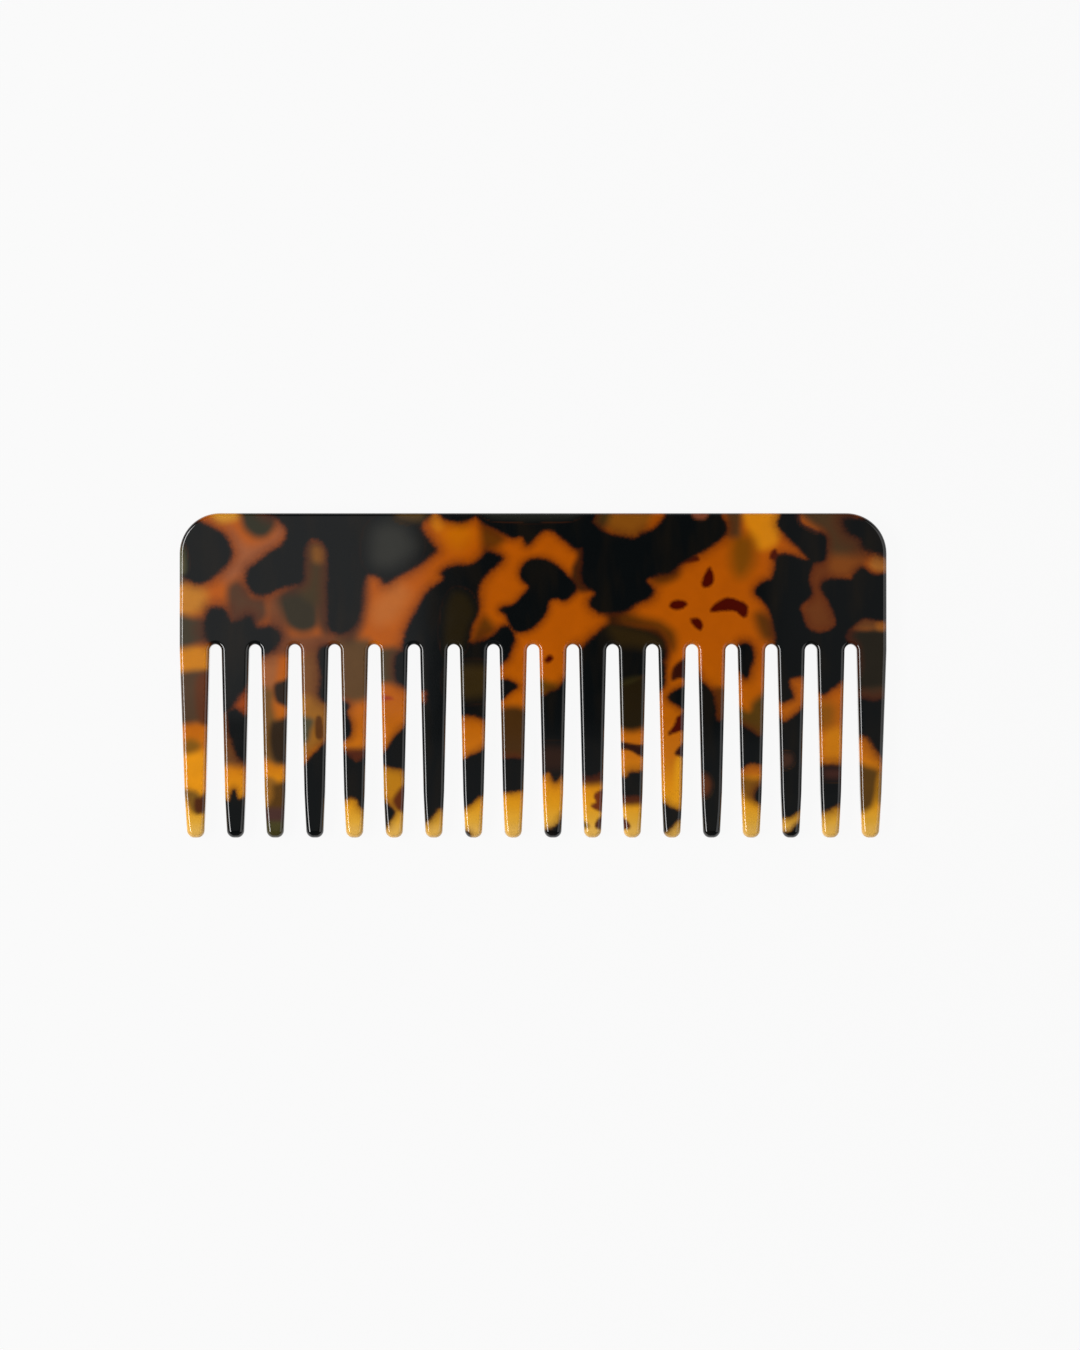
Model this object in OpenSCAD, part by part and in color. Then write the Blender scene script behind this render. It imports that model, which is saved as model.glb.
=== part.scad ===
// Wide-tooth hair comb, cut from one sheet of marbled cellulose acetate.
// It lies flat: X runs along the comb, Y from the tooth tips to the back edge and
// Z through the sheet. The origin is the middle of its underside.

/* [Comb] */
// Overall length
comb_length = 140; // [115:1:180]
// Overall height, from the tooth tips to the back edge
comb_height = 64.3; // [52:0.1:80]
// Thickness of the sheet
sheet_thickness = 4; // [3:0.1:6]
// Radius of the two corners of the back, seen from above
corner_radius = 8; // [3:0.5:14]
// Rounding of the edges of the back and the teeth
edge_round = 0.8; // [0.3:0.05:1]

/* [Teeth] */
// Number of teeth
tooth_count = 18; // [8:1:20]
// Length of the gaps between the teeth
gap_length = 38.3; // [25:0.1:42]
// Width of a gap at its rounded top
gap_top_width = 2.4; // [1.2:0.1:3]
// Width of a gap at the tooth tips
gap_mouth_width = 4.2; // [1.8:0.1:4.5]
// Width of each end tooth at the back
end_tooth_width = 5.9; // [4:0.1:9]
// How far the outside of an end tooth leans in at its tip
end_tooth_lean = 1.3; // [0:0.1:2]

/* [Tips] */
// Corner radius of a tip, seen from above
tip_radius = 1.4; // [0.6:0.1:2]
// How far each side of a tip is rounded in from the straight taper
tip_inset = 0.15; // [0:0.05:0.4]
// Thickness of a tip
tip_thickness = 2.4; // [1.4:0.1:3]
// Length over which a tip is ground thinner
tip_grind_length = 9; // [3:0.5:16]

/* [Hidden] */
back_edge_y = comb_height / 2;
tip_y = -comb_height / 2;
end_x = comb_length / 2;
gap_top_radius = gap_top_width / 2;
// The teeth stand on this plane, where the round tops of the gaps turn into straight sides
root_y = tip_y + gap_length - gap_top_radius;
tooth_length = root_y - tip_y;
// Even spacing between the two end teeth
pitch = (comb_length - 2 * end_tooth_width - gap_top_width) / (tooth_count - 2);
grind_share = 1 - tip_grind_length / tooth_length;
// Past a face that is cut through, and the depth of a hull's flat end slice
overshoot = 1;
slice = 0.1;
// Facets round a curve that a hull blends
hull_fn = 32;
$fn = 96;

function tooth_name(i) = str("tooth_", i < 10 ? "0" : "", i);

// Middle of the gap to the right of tooth i
function gap_x(i) = (i - tooth_count / 2) * pitch;
// Sides of tooth i at a share of the way from its root to its tip
function gap_half_width(share) = (gap_top_width + (gap_mouth_width - gap_top_width) * share) / 2;
function left_x(i, share) =
    i == 1 ? -end_x + end_tooth_lean * share : gap_x(i - 1) + gap_half_width(share);
function right_x(i, share) =
    i == tooth_count ? end_x - end_tooth_lean * share : gap_x(i) - gap_half_width(share);

// Section of the sheet, square at the left and rounded at its right-hand end
module sheet_section(width) {
    square([width - edge_round, sheet_thickness]);
    translate([0, edge_round])
        square([width, sheet_thickness - 2 * edge_round]);
    for (z = [edge_round, sheet_thickness - edge_round])
        translate([width - edge_round, z])
            circle(edge_round);
}

// Right-hand half of the end of the back: the round corner and the straight edge below it
module back_corner() {
    translate([end_x - corner_radius, back_edge_y - corner_radius, 0])
        rotate_extrude(angle = 90)
            sheet_section(corner_radius);
    translate([end_x - corner_radius, back_edge_y - corner_radius, 0])
        rotate([90, 0, 0])
            linear_extrude(back_edge_y - corner_radius - root_y)
                sheet_section(corner_radius);
}

// The round top of a gap, flared at both faces to leave rounded edges
module gap_top_cut() {
    rotate_extrude()
        difference() {
            translate([0, -overshoot])
                square([gap_top_radius + edge_round, sheet_thickness + 2 * overshoot]);
            translate([gap_top_radius, edge_round])
                square([edge_round, sheet_thickness - 2 * edge_round]);
            for (z = [edge_round, sheet_thickness - edge_round])
                translate([gap_top_radius + edge_round, z])
                    circle(edge_round);
        }
}

// The solid strip above the teeth
module back() {
    color("#4a2c16")
    difference() {
        union() {
            translate([corner_radius - end_x, root_y, 0])
                rotate([90, 0, 90])
                    linear_extrude(comb_length - 2 * corner_radius)
                        sheet_section(back_edge_y - root_y);
            back_corner();
            mirror([1, 0, 0])
                back_corner();
        }
        for (i = [1:tooth_count - 1])
            translate([gap_x(i), root_y, 0])
                gap_top_cut();
    }
}

// Thin slice across tooth i at a share of its length, with rounded corners
module tooth_slice(i, share) {
    translate([0, root_y - share * tooth_length, sheet_thickness / 2])
        rotate([90, 0, 0])
            linear_extrude(slice)
                for (x = [left_x(i, share) + edge_round, right_x(i, share) - edge_round],
                     z = [-1, 1] * (sheet_thickness / 2 - edge_round))
                    translate([x, z])
                        circle(edge_round, $fn = hull_fn);
}

// One corner of a ground tip: a disc with a fully rounded rim
module tip_corner(radius) {
    rim = min(tip_thickness / 2, radius);
    for (z = [-1, 1] * (tip_thickness / 2 - rim))
        translate([0, 0, z])
            rotate_extrude($fn = hull_fn)
                translate([radius - rim, 0])
                    intersection() {
                        circle(rim, $fn = hull_fn);
                        translate([0, -rim])
                            square([rim, 2 * rim]);
                    }
}

// One tooth: straight sides that taper to a thinner, rounded tip
module tooth(i) {
    tip_left = left_x(i, 1) + tip_inset;
    tip_right = right_x(i, 1) - tip_inset;
    radius = min(tip_radius, (tip_right - tip_left) / 2);
    color("#b4691c")
    hull() {
        tooth_slice(i, 0);
        tooth_slice(i, grind_share);
        for (x = [tip_left + radius, tip_right - radius])
            translate([x, tip_y + radius, sheet_thickness / 2])
                tip_corner(radius);
    }
}

back();
for (i = [1:tooth_count])
    tooth(i);
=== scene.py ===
import math

import bpy
import bmesh
import numpy as np
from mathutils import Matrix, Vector


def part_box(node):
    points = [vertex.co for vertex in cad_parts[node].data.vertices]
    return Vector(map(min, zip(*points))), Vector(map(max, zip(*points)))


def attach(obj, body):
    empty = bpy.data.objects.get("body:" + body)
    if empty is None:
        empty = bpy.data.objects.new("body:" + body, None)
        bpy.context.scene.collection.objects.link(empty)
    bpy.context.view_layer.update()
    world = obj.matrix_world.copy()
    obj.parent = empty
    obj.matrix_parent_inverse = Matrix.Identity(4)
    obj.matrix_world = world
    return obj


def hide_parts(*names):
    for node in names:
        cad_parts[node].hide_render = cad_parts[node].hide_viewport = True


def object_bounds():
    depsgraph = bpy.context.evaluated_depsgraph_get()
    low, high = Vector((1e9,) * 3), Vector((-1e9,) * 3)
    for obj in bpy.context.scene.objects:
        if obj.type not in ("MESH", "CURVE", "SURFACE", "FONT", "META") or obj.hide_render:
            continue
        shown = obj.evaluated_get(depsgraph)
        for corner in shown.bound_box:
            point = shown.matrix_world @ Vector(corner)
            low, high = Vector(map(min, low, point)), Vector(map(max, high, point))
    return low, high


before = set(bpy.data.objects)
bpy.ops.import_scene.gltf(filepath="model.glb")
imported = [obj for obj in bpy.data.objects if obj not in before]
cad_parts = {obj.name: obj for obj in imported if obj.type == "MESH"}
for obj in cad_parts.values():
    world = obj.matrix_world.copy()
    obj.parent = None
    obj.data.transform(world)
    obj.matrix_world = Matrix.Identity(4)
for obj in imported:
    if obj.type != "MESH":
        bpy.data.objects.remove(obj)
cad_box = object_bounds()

MM = 0.001

# ---------------------------------------------------------------------------
# The sheet
# The real comb is cut from one sheet of cellulose acetate. The sheet is pressed from
# slabs of amber material with dark flakes mixed in, so the marbling runs right through
# it: some flakes lie at the upper face, some deeper, where they show brown and blurred.
# ---------------------------------------------------------------------------
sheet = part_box("back")[1].z / MM


def linear(code):
    """Linear RGB of a six-figure colour code."""
    level = np.array([int(code[i:i + 2], 16) for i in (0, 2, 4)]) / 255
    return np.where(level < 0.04045, level / 12.92, ((level + 0.055) / 1.055) ** 2.4)


def round_outline(points, steps=6):
    """Closed curve through the points: between two of them it is the cubic whose slope at
    each point is half the step from the point before to the point after."""
    corners = np.array(points, float)
    before, here, after, beyond = (np.roll(corners, k, axis=0)[:, None, :] for k in (1, 0, -1, -2))
    t = (np.arange(steps) / steps)[None, :, None]
    curve = 0.5 * (2 * here + (after - before) * t
                   + (2 * before - 5 * here + 4 * after - beyond) * t ** 2
                   + (3 * here - before - 3 * after + beyond) * t ** 3)
    return curve.reshape(-1, 2)


def signed_distance(xy, points, margin=4, far=9.0):
    """Distance in mm from each place to the rounded outline, negative inside it, and simply
    far for a place outside the outline's box and its margin. Inside means that a line to the
    right crosses the outline an odd number of times."""
    start = round_outline(points)
    end = np.roll(start, -1, axis=0)
    distance = np.full(len(xy), far)
    low, high = start.min(0) - margin, start.max(0) + margin
    near = np.all((xy > low) & (xy < high), axis=1)
    place = xy[near][:, None, :]
    along = end - start
    share = np.clip(((place - start) * along).sum(2) / (along ** 2).sum(1), 0, 1)
    gap = np.sqrt(((place - start - share[..., None] * along) ** 2).sum(2)).min(1)
    spans = (start[:, 1] > place[..., 1]) != (end[:, 1] > place[..., 1])
    rise = np.where(along[:, 1] == 0, 1e-9, along[:, 1])
    crossing = start[:, 0] + (place[..., 1] - start[:, 1]) * along[:, 0] / rise
    inside = (spans & (place[..., 0] < crossing)).sum(1) % 2 == 1
    distance[near] = np.where(inside, -gap, gap)
    return distance


# Near-black flakes: how soft the edge is, how deep the flake goes from the upper face
# (both mm), and its outline in the plane of the comb, mm from the middle.
dark_flakes = {
    "corner_left": (0.5, 4, [
        (-69.4, 25), (-69, 22), (-69, 19.6), (-66.4, 18.4), (-64, 19.2), (-62, 20.8), (-60.3, 22.6),
        (-59.8, 24.5), (-60.8, 27), (-62.5, 28.6), (-64.5, 29.6), (-66.5, 30.4), (-68.4, 29.2),
        (-69.6, 27)]),
    "left_mass": (0.5, 4, [
        (-51, 33), (-50.2, 31), (-48.9, 29.4), (-48.6, 27.8), (-49.6, 25.8), (-52.4, 24.1), (-54.6, 22.2),
        (-56.4, 20.6), (-56.6, 18.6), (-55.4, 16.6), (-53.6, 15.9), (-51.6, 16.6), (-49.4, 17.6), (-47, 18),
        (-45.6, 19), (-45.4, 22), (-45.3, 25), (-43.8, 27), (-41.6, 26.4), (-40.6, 24), (-40.6, 17),
        (-40.4, 10), (-38.8, 8.4), (-36.6, 8.8), (-35, 10.4), (-34.2, 13), (-33.8, 17), (-33, 20),
        (-30.5, 19.8), (-29.2, 18.3), (-27, 19.8), (-24.5, 21), (-22, 22.6), (-20.2, 24), (-19.4, 24.8),
        (-20, 25.8), (-21, 27.2), (-22, 28.7), (-22.3, 30), (-22.2, 33.5)]),
    "left_band": (0.6, 4, [
        (-64.6, 11.8), (-63.3, 13.2), (-61, 12.9), (-59.8, 10.5), (-57.6, 11), (-55.9, 11.5), (-54.6, 9.5),
        (-52, 9.6), (-50.4, 8.6), (-50.3, 6.8), (-51.6, 5), (-54.2, 3.8), (-55.9, 4.2), (-56.1, 0),
        (-57.2, -2.6), (-58.4, -4), (-59.3, -5.4), (-60, -6.6), (-61.4, -7.2), (-62.4, -5.8), (-61.8, 0),
        (-62, 5), (-64.8, 7.6)]),
    "cap": (0.4, 3, [(-18.6, 33), (-17.6, 31.3), (-15.6, 30.6), (-13.2, 30.8), (-11.2, 32), (-11, 33.5)]),
    "top_band": (0.4, 4, [
        (-10.6, 34), (-10.2, 30.6), (-7.6, 29.2), (-4.2, 27.5), (-2.2, 27.6), (-1.2, 26), (0.5, 27.6),
        (2, 28.8), (4, 28.7), (5.2, 27.8), (7, 26.4), (8.5, 25.2), (11, 26), (11, 29), (10.5, 33)]),
    "slanted": (0.45, 4, [
        (-10.1, 23.4), (-9, 24.4), (-6.6, 23.6), (-6.5, 22.6), (-8.6, 20.8), (-10.4, 18.6), (-11, 16.6),
        (-11, 12.6), (-12.2, 10), (-12.8, 7), (-14, 4), (-16.5, -1), (-16.6, -8), (-16.8, -15),
        (-17, -25.6), (-18.5, -26.2), (-19.3, -26.9), (-20, -27.7), (-20.8, -28.4), (-21.6, -28.9),
        (-23, -29.2), (-23, -24), (-22.8, -7.2), (-21.2, -5.6), (-21, -3), (-23, -2.2), (-23, 3),
        (-25.6, 4.4), (-25.2, 8), (-24.2, 10.4), (-22.4, 13.6), (-20.6, 16.6), (-17.6, 19), (-17.9, 20.2),
        (-16, 21.4), (-12, 21.9)]),
    "mushroom": (0.35, 4, [
        (-2.5, 20.3), (-1.6, 22.1), (0.4, 23), (3, 22.6), (6, 20.4), (8.4, 17.6), (7.4, 15.8), (6.1, 15),
        (4.4, 15.4), (3.1, 14.8), (2.2, 12.2), (0.2, 9.8), (-2.6, 8.7), (-4.2, 9.6), (-5.2, 12),
        (-6.3, 13.1), (-3.6, 14), (-1.8, 16), (-0.8, 17.6), (-2, 19)]),
    "triangle": (0.4, 4, [
        (-10.5, 6.4), (-8.2, 7.6), (-6.2, 9.4), (-4.9, 9.4), (-3.9, 7.4), (-4.3, 5.6), (-5.4, 3.2),
        (-7.4, 2.2), (-9, 3.4), (-11.4, 4.4)]),
    "big_mass": (0.45, 4, [
        (10.4, 31.5), (9.6, 27), (9.9, 23.4), (9.6, 19.8), (10.4, 17.8), (12.3, 16.4), (11.5, 15),
        (11.4, 14), (12.6, 12.9), (14.4, 12.5), (16.6, 12.6), (18.6, 13), (20.6, 14.5), (22.8, 15.4),
        (23.7, 16.8), (22.4, 18.8), (24.4, 20), (27.4, 20.6), (29.2, 22.1), (31.6, 23.6), (34.6, 25.3),
        (37.6, 27.6), (38.3, 29.4), (37.2, 31.4), (36, 33.5), (27, 33.5), (26.4, 31.6), (24, 29),
        (21.5, 28), (20, 27.1), (17.5, 27.3), (15, 28), (13, 29)]),
    "right_slant": (0.4, 4, [
        (50.4, 33.5), (48.6, 30.2), (50.2, 27.8), (53, 25), (54.6, 23), (53.4, 22.9), (50.4, 23.8),
        (48.4, 23.4), (48, 21.5), (47.4, 19.2), (45.5, 18.4), (44.3, 17.3), (44.2, 16.2), (45.5, 15),
        (46.8, 13), (48, 8.6), (48, 5), (48.3, -1.5), (49, -5), (50.6, -4.7), (51.3, -4), (50.6, -1.8),
        (51, -0.4), (54, 0.4), (55.5, 3), (56, -2), (57.4, -3.5), (59, -2.5), (60.4, -1.5), (62, -0.2),
        (63.4, 1), (63.4, 5), (61.8, 7.6), (63.4, 10), (65.6, 11.4), (71, 11.5), (71, 19.4), (67.4, 19.9),
        (65.2, 21.2), (63.6, 19.9), (62.8, 18.9), (58.8, 19), (57.1, 17.6), (58.5, 14.8), (59.8, 11.6),
        (59.8, 9.6), (57.2, 8.4), (54.6, 9), (53.2, 11.8), (52.9, 13.8), (55, 16), (54.5, 19), (55.4, 22),
        (57.6, 23), (58, 25.4), (57.9, 27.4), (55.6, 28.8), (53, 30.2), (52.6, 33.5)]),
    "corner_right": (0.7, 4, [
        (61.6, 31), (62.4, 28.4), (64.6, 27), (65.4, 25.2), (68, 24.2), (71, 24), (71, 29), (67.6, 33),
        (65.6, 31)]),
    "tooth_2_drop": (0.5, 4, [
        (-60.3, -7.3), (-58.8, -6.8), (-57.4, -7.8), (-56, -9), (-56, -16.4), (-57.8, -16.6),
        (-58.8, -14.8), (-59.7, -12.4), (-60.3, -10)]),
    "tooth_2_tip": (0.35, 4, [
        (-61.8, -25.3), (-60.1, -25), (-59.2, -22.8), (-58.4, -24.6), (-56, -25.2), (-56, -34),
        (-62, -34)]),
    "tooth_4_edge": (0.5, 4, [(-42.3, 4.8), (-40, 5), (-40, -4.4), (-42, -4.2), (-41.9, 0)]),
    "tooth_4_tip": (0.4, 4, [
        (-47, -19.6), (-45, -17.8), (-42.9, -15.3), (-40, -14.8), (-40, -34), (-47, -34)]),
    "tooth_5_left": (0.35, 3, [
        (-39, -5.6), (-36.7, -5.7), (-36.9, -7.6), (-36.1, -9.8), (-36.5, -12), (-39, -12.6)]),
    "tooth_5_core": (0.4, 4, [
        (-39, -15.6), (-36.6, -15.9), (-35, -17.2), (-32, -17), (-32, -26.6), (-33.5, -26.2),
        (-34.2, -25.6), (-34.8, -24.5), (-36, -23.9), (-39, -23.9)]),
    "tooth_6_edge": (0.45, 4, [(-26.8, 4.2), (-24, 4), (-24, -1.8), (-26.4, -1.4), (-27.2, 0.4)]),
    "tooth_6_slant": (0.35, 4, [
        (-24, -9.9), (-25.3, -10.3), (-27, -12), (-28.5, -14.3), (-29.6, -15.6), (-29.8, -17),
        (-28.4, -17.9), (-26, -18.3), (-24, -18.5)]),
    "tooth_6_tip": (0.35, 3, [
        (-31, -25), (-29.2, -25.4), (-27.5, -27), (-28.4, -28.6), (-29.4, -30.1), (-31, -30.4)]),
    "tooth_8_root": (0.6, 4, [(-15.8, 7), (-12, 6.2), (-8.6, 6.6), (-8.2, 0), (-8.2, -6), (-15.8, -6)]),
    "tooth_8_low": (0.4, 4, [
        (-12.6, -4.4), (-10.6, -3.4), (-8.4, -2.6), (-8.4, -8.2), (-12, -7.8), (-15.4, -7.4),
        (-15.4, -5.8)]),
    "tooth_8_core": (0.35, 4, [
        (-15, -18.2), (-13.2, -16.5), (-11.2, -15.6), (-9, -15.2), (-9, -22.6), (-11, -24), (-12.8, -25.5),
        (-15, -26)]),
    "tooth_8_tip": (0.3, 2, [(-14.6, -30.8), (-13.2, -31), (-12.6, -31.6), (-13, -32.4), (-14.6, -32.4)]),
    "tooth_9_wedge": (0.3, 3, [
        (-7.6, -0.8), (-6.2, -1), (-4.8, -1.1), (-3.2, -2.1), (-4.2, -2.9), (-5.2, -3.8), (-6.2, -4.6),
        (-7.6, -5)]),
    "tooth_9_core": (0.35, 4, [(-7.4, -17), (-1, -17.2), (-1, -22), (-7.4, -22.3)]),
    "tooth_10": (0.4, 4, [
        (0.4, -5.4), (2.4, -4.2), (3.6, -3.3), (5, -2.8), (7, -2.2), (7, -19.2), (5.6, -19.4), (4.6, -20.8),
        (4, -20.4), (3.2, -19), (0.4, -18.4)]),
    "tooth_10_tip": (0.35, 3, [
        (6.2, -28.4), (5.2, -29.4), (4, -30.3), (2.4, -30.7), (0.8, -31), (0.8, -34), (6.4, -34)]),
    "tooth_11": (0.5, 4, [
        (8.6, 3.6), (9.8, 5.2), (11, 6.6), (12.5, 7.8), (13.8, 9), (15.4, 9.8), (19, 9.4), (23, 8.4),
        (25.6, 6.6), (25.8, 3.4), (23, 1), (20.8, -0.6), (18.6, -1.6), (16.4, -1.8), (15.2, 0),
        (14.4, -17.4), (8.4, -17.6)]),
    "tooth_12_core": (0.4, 4, [
        (16.6, -20.5), (18.4, -20.3), (19.2, -19.4), (20.4, -19.3), (22.6, -19.6), (22.6, -23.4),
        (16.6, -23.3)]),
    "tooth_13_left": (0.4, 4, [(24, 3), (25.7, 2.4), (26, 0), (25.6, -2.2), (24, -2.6)]),
    "tooth_13_mid": (0.35, 3, [(31, -2.6), (28.6, -2.9), (26.9, -4.3), (28.4, -5.7), (31, -6.6)]),
    "tooth_13_tip": (0.35, 4, [
        (24, -25), (25.8, -25.4), (27, -26.2), (28.8, -26.9), (30, -27), (30, -28), (28.6, -28.6),
        (26.6, -30.6), (24, -31.2)]),
    "tooth_14": (0.4, 4, [
        (31.6, -1.6), (33.4, -1.6), (34.5, -2.4), (35.6, -4), (36, -6), (36.5, -9), (39, -11.4), (39, -34),
        (31.6, -34)]),
    "tooth_15_oval": (0.45, 4, [
        (40.4, 5.4), (42.2, 6.3), (43.5, 5), (43.3, 2.6), (42.3, -0.2), (41.2, 0.6), (40.2, 2)]),
    "tooth_15_core": (0.4, 4, [
        (40, -10.4), (43, -11), (44.6, -12), (47, -12.2), (47, -17), (43, -17.3), (40, -18)]),
    "tooth_15_low": (0.4, 2, [(47, -21.6), (44.9, -22.2), (44, -23.6), (44.3, -24.8), (47, -25.6)]),
    "tooth_16": (0.4, 4, [
        (47.6, -9.2), (49.4, -9.4), (50.6, -9), (51.8, -8.2), (53.2, -7), (55, -6.4), (55, -25.6),
        (53, -26.3), (51.4, -27.5), (49.4, -28), (47.6, -28.4)]),
    "tooth_16_tip": (0.35, 4, [
        (54, -28.8), (52.6, -29.4), (51.6, -30.4), (51, -31.1), (48.4, -31.6), (48.4, -34), (54, -34)]),
    "tooth_17": (0.5, 4, [
        (55.6, -18.9), (62.4, -18.7), (62.4, -25), (61, -25.2), (59.5, -25.8), (57.6, -26.7), (55.6, -27)]),
    "tooth_18": (0.5, 4, [
        (63.4, -5), (67.4, -5.2), (71, -5.6), (71, -18), (69.2, -16.2), (67.7, -14.2), (66.6, -12.4),
        (65.4, -11.7), (63.4, -11.4)]),
}

# Small dark red specks near the upper face, which are thin and let some light through.
red_specks = {
    "oval": [(27.1, 14), (28.2, 14.8), (29.8, 14.7), (30.4, 14), (29.2, 13.3), (27.8, 13.2)],
    "shard": [(31.2, 11.1), (32.6, 11.1), (33.5, 10.1), (33.1, 9.1), (32, 9.8)],
    "drop": [(34.9, 21.3), (35.6, 19.8), (35.4, 18.2), (34.2, 17.5), (33.5, 18), (34, 19.8)],
    "banana": [
        (35.2, 12.7), (36, 14), (38.2, 15.2), (40.6, 14.8), (42.2, 13.8), (42.2, 11.8), (41.3, 11.8),
        (40, 12.8), (37.4, 12.9)],
    "tail": [(29, 22.2), (30.4, 22.4), (32.6, 22.8), (32.6, 23.4), (30.8, 24), (28.6, 23)],
    "nick": [(47, 23.2), (47.3, 24.4), (47.9, 24.9), (48.5, 23.9), (50, 23.8), (50, 22.8), (48, 22.9)],
    "dot": [(2.4, 3), (3.1, 3.8), (3.8, 3.5), (3.3, 2.8), (2.8, 2.6)],
    "tooth_13": [(31, -6.8), (28.8, -8.2), (28.1, -9.8), (26.8, -11.6), (28.6, -11.1), (31, -10)],
}

# Places where the amber itself is lighter, redder or browner: colour, softness in mm, outline.
amber_tones = {
    "left_end": ("BE7822", 1.7, [
        (-71, 18.6), (-67.4, 18.4), (-65, 17), (-64.6, 14.4), (-66, 12.4), (-71, 12)]),
    "above_mass": ("C4700C", 0.8, [
        (-21, 33.5), (-20.4, 30.4), (-19, 28.4), (-17.4, 29.4), (-18.2, 31.4), (-19, 33.5)]),
    "glow": ("C06600", 2.4, [(-18, 28), (-15, 31), (-12, 28), (-15, 25)]),
    "rust_left": ("B86424", 2, [(-30, 16), (-27, 18.6), (-24.4, 16), (-27.4, 11), (-31, 10), (-32, 13)]),
    "top_right": ("D6820E", 1.2, [(41.5, 33.5), (50, 33.5), (49, 29.5), (48, 26), (44.6, 25), (42.5, 29)]),
    "slant_right": ("804314", 1.2, [
        (57, 24.5), (57.4, 20.4), (60, 19), (63, 19.5), (65.6, 21.6), (66.4, 24.4), (62, 25.4)]),
    "right_end": ("B06C28", 1, [(66.8, 21.4), (71, 20), (71, 23.8), (68, 24.2)]),
    "tooth_1_top": ("C87A10", 1, [(-71, 5.8), (-65.4, 5.8), (-62, 6), (-62, 0.2), (-71, 0.2)]),
    "tooth_7_spot": ("8E4018", 0.35, [(-23, -2), (-20.6, -2.2), (-20.6, -5.6), (-23, -6)]),
    "tooth_2_wedge": ("AC4A0A", 0.8, [(-60, -6), (-58, -3.4), (-56, -2.4), (-56, -8), (-58.6, -7)]),
    "tooth_13_strip": ("DE9410", 0.8, [(28.2, -17), (30, -17), (30, -25.6), (28, -25)]),
    "tooth_15_red": ("B8640C", 0.8, [(40, -17.6), (46, -17.6), (46, -19.6), (40, -19.6)]),
    "tooth_17_glow": ("CA7808", 1.4, [(58, -11), (62, -11), (62, -16.6), (58, -16.6)]),
    "corner_amber": ("CC8A24", 1.2, [(-64, 33.5), (-58.6, 33.5), (-58.6, 31), (-62.4, 30.4)]),
    "corner_rust": ("9A552E", 1.8, [
        (-60, 29), (-56.4, 26), (-52, 27.4), (-50, 31.4), (-49, 28), (-54, 23), (-57.4, 19.6),
        (-60.6, 18.4), (-61.6, 20.6), (-59, 24)]),
    "tooth_3_top": ("9C5A2C", 0.9, [(-54.8, 5.4), (-50.8, 5), (-50.9, -1), (-51.8, -3), (-54.8, -3)]),
    "tooth_1_low": ("E2900E", 1.2, [(-69, -15.6), (-64.6, -15.6), (-64.8, -22.6), (-68, -22.6)]),
    "tooth_3_low": ("94601A", 0.7, [(-54.4, -20.8), (-50.8, -20.8), (-51.2, -26.6), (-54.4, -26.6)]),
    "tooth_4_mid": ("945E1C", 0.9, [
        (-46.8, -4.4), (-40.4, -4.4), (-40.4, -12), (-43.6, -14.6), (-46.8, -17)]),
    "tooth_6_speck": ("A03C18", 0.25, [
        (-31, -3.8), (-28.8, -4), (-27.5, -4.5), (-28.6, -4.9), (-31, -5.1)]),
    "tooth_6_low": ("B8780E", 0.9, [(-30.4, -18.4), (-25.2, -18.4), (-25.4, -25.4), (-30.4, -25.4)]),
}

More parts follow.
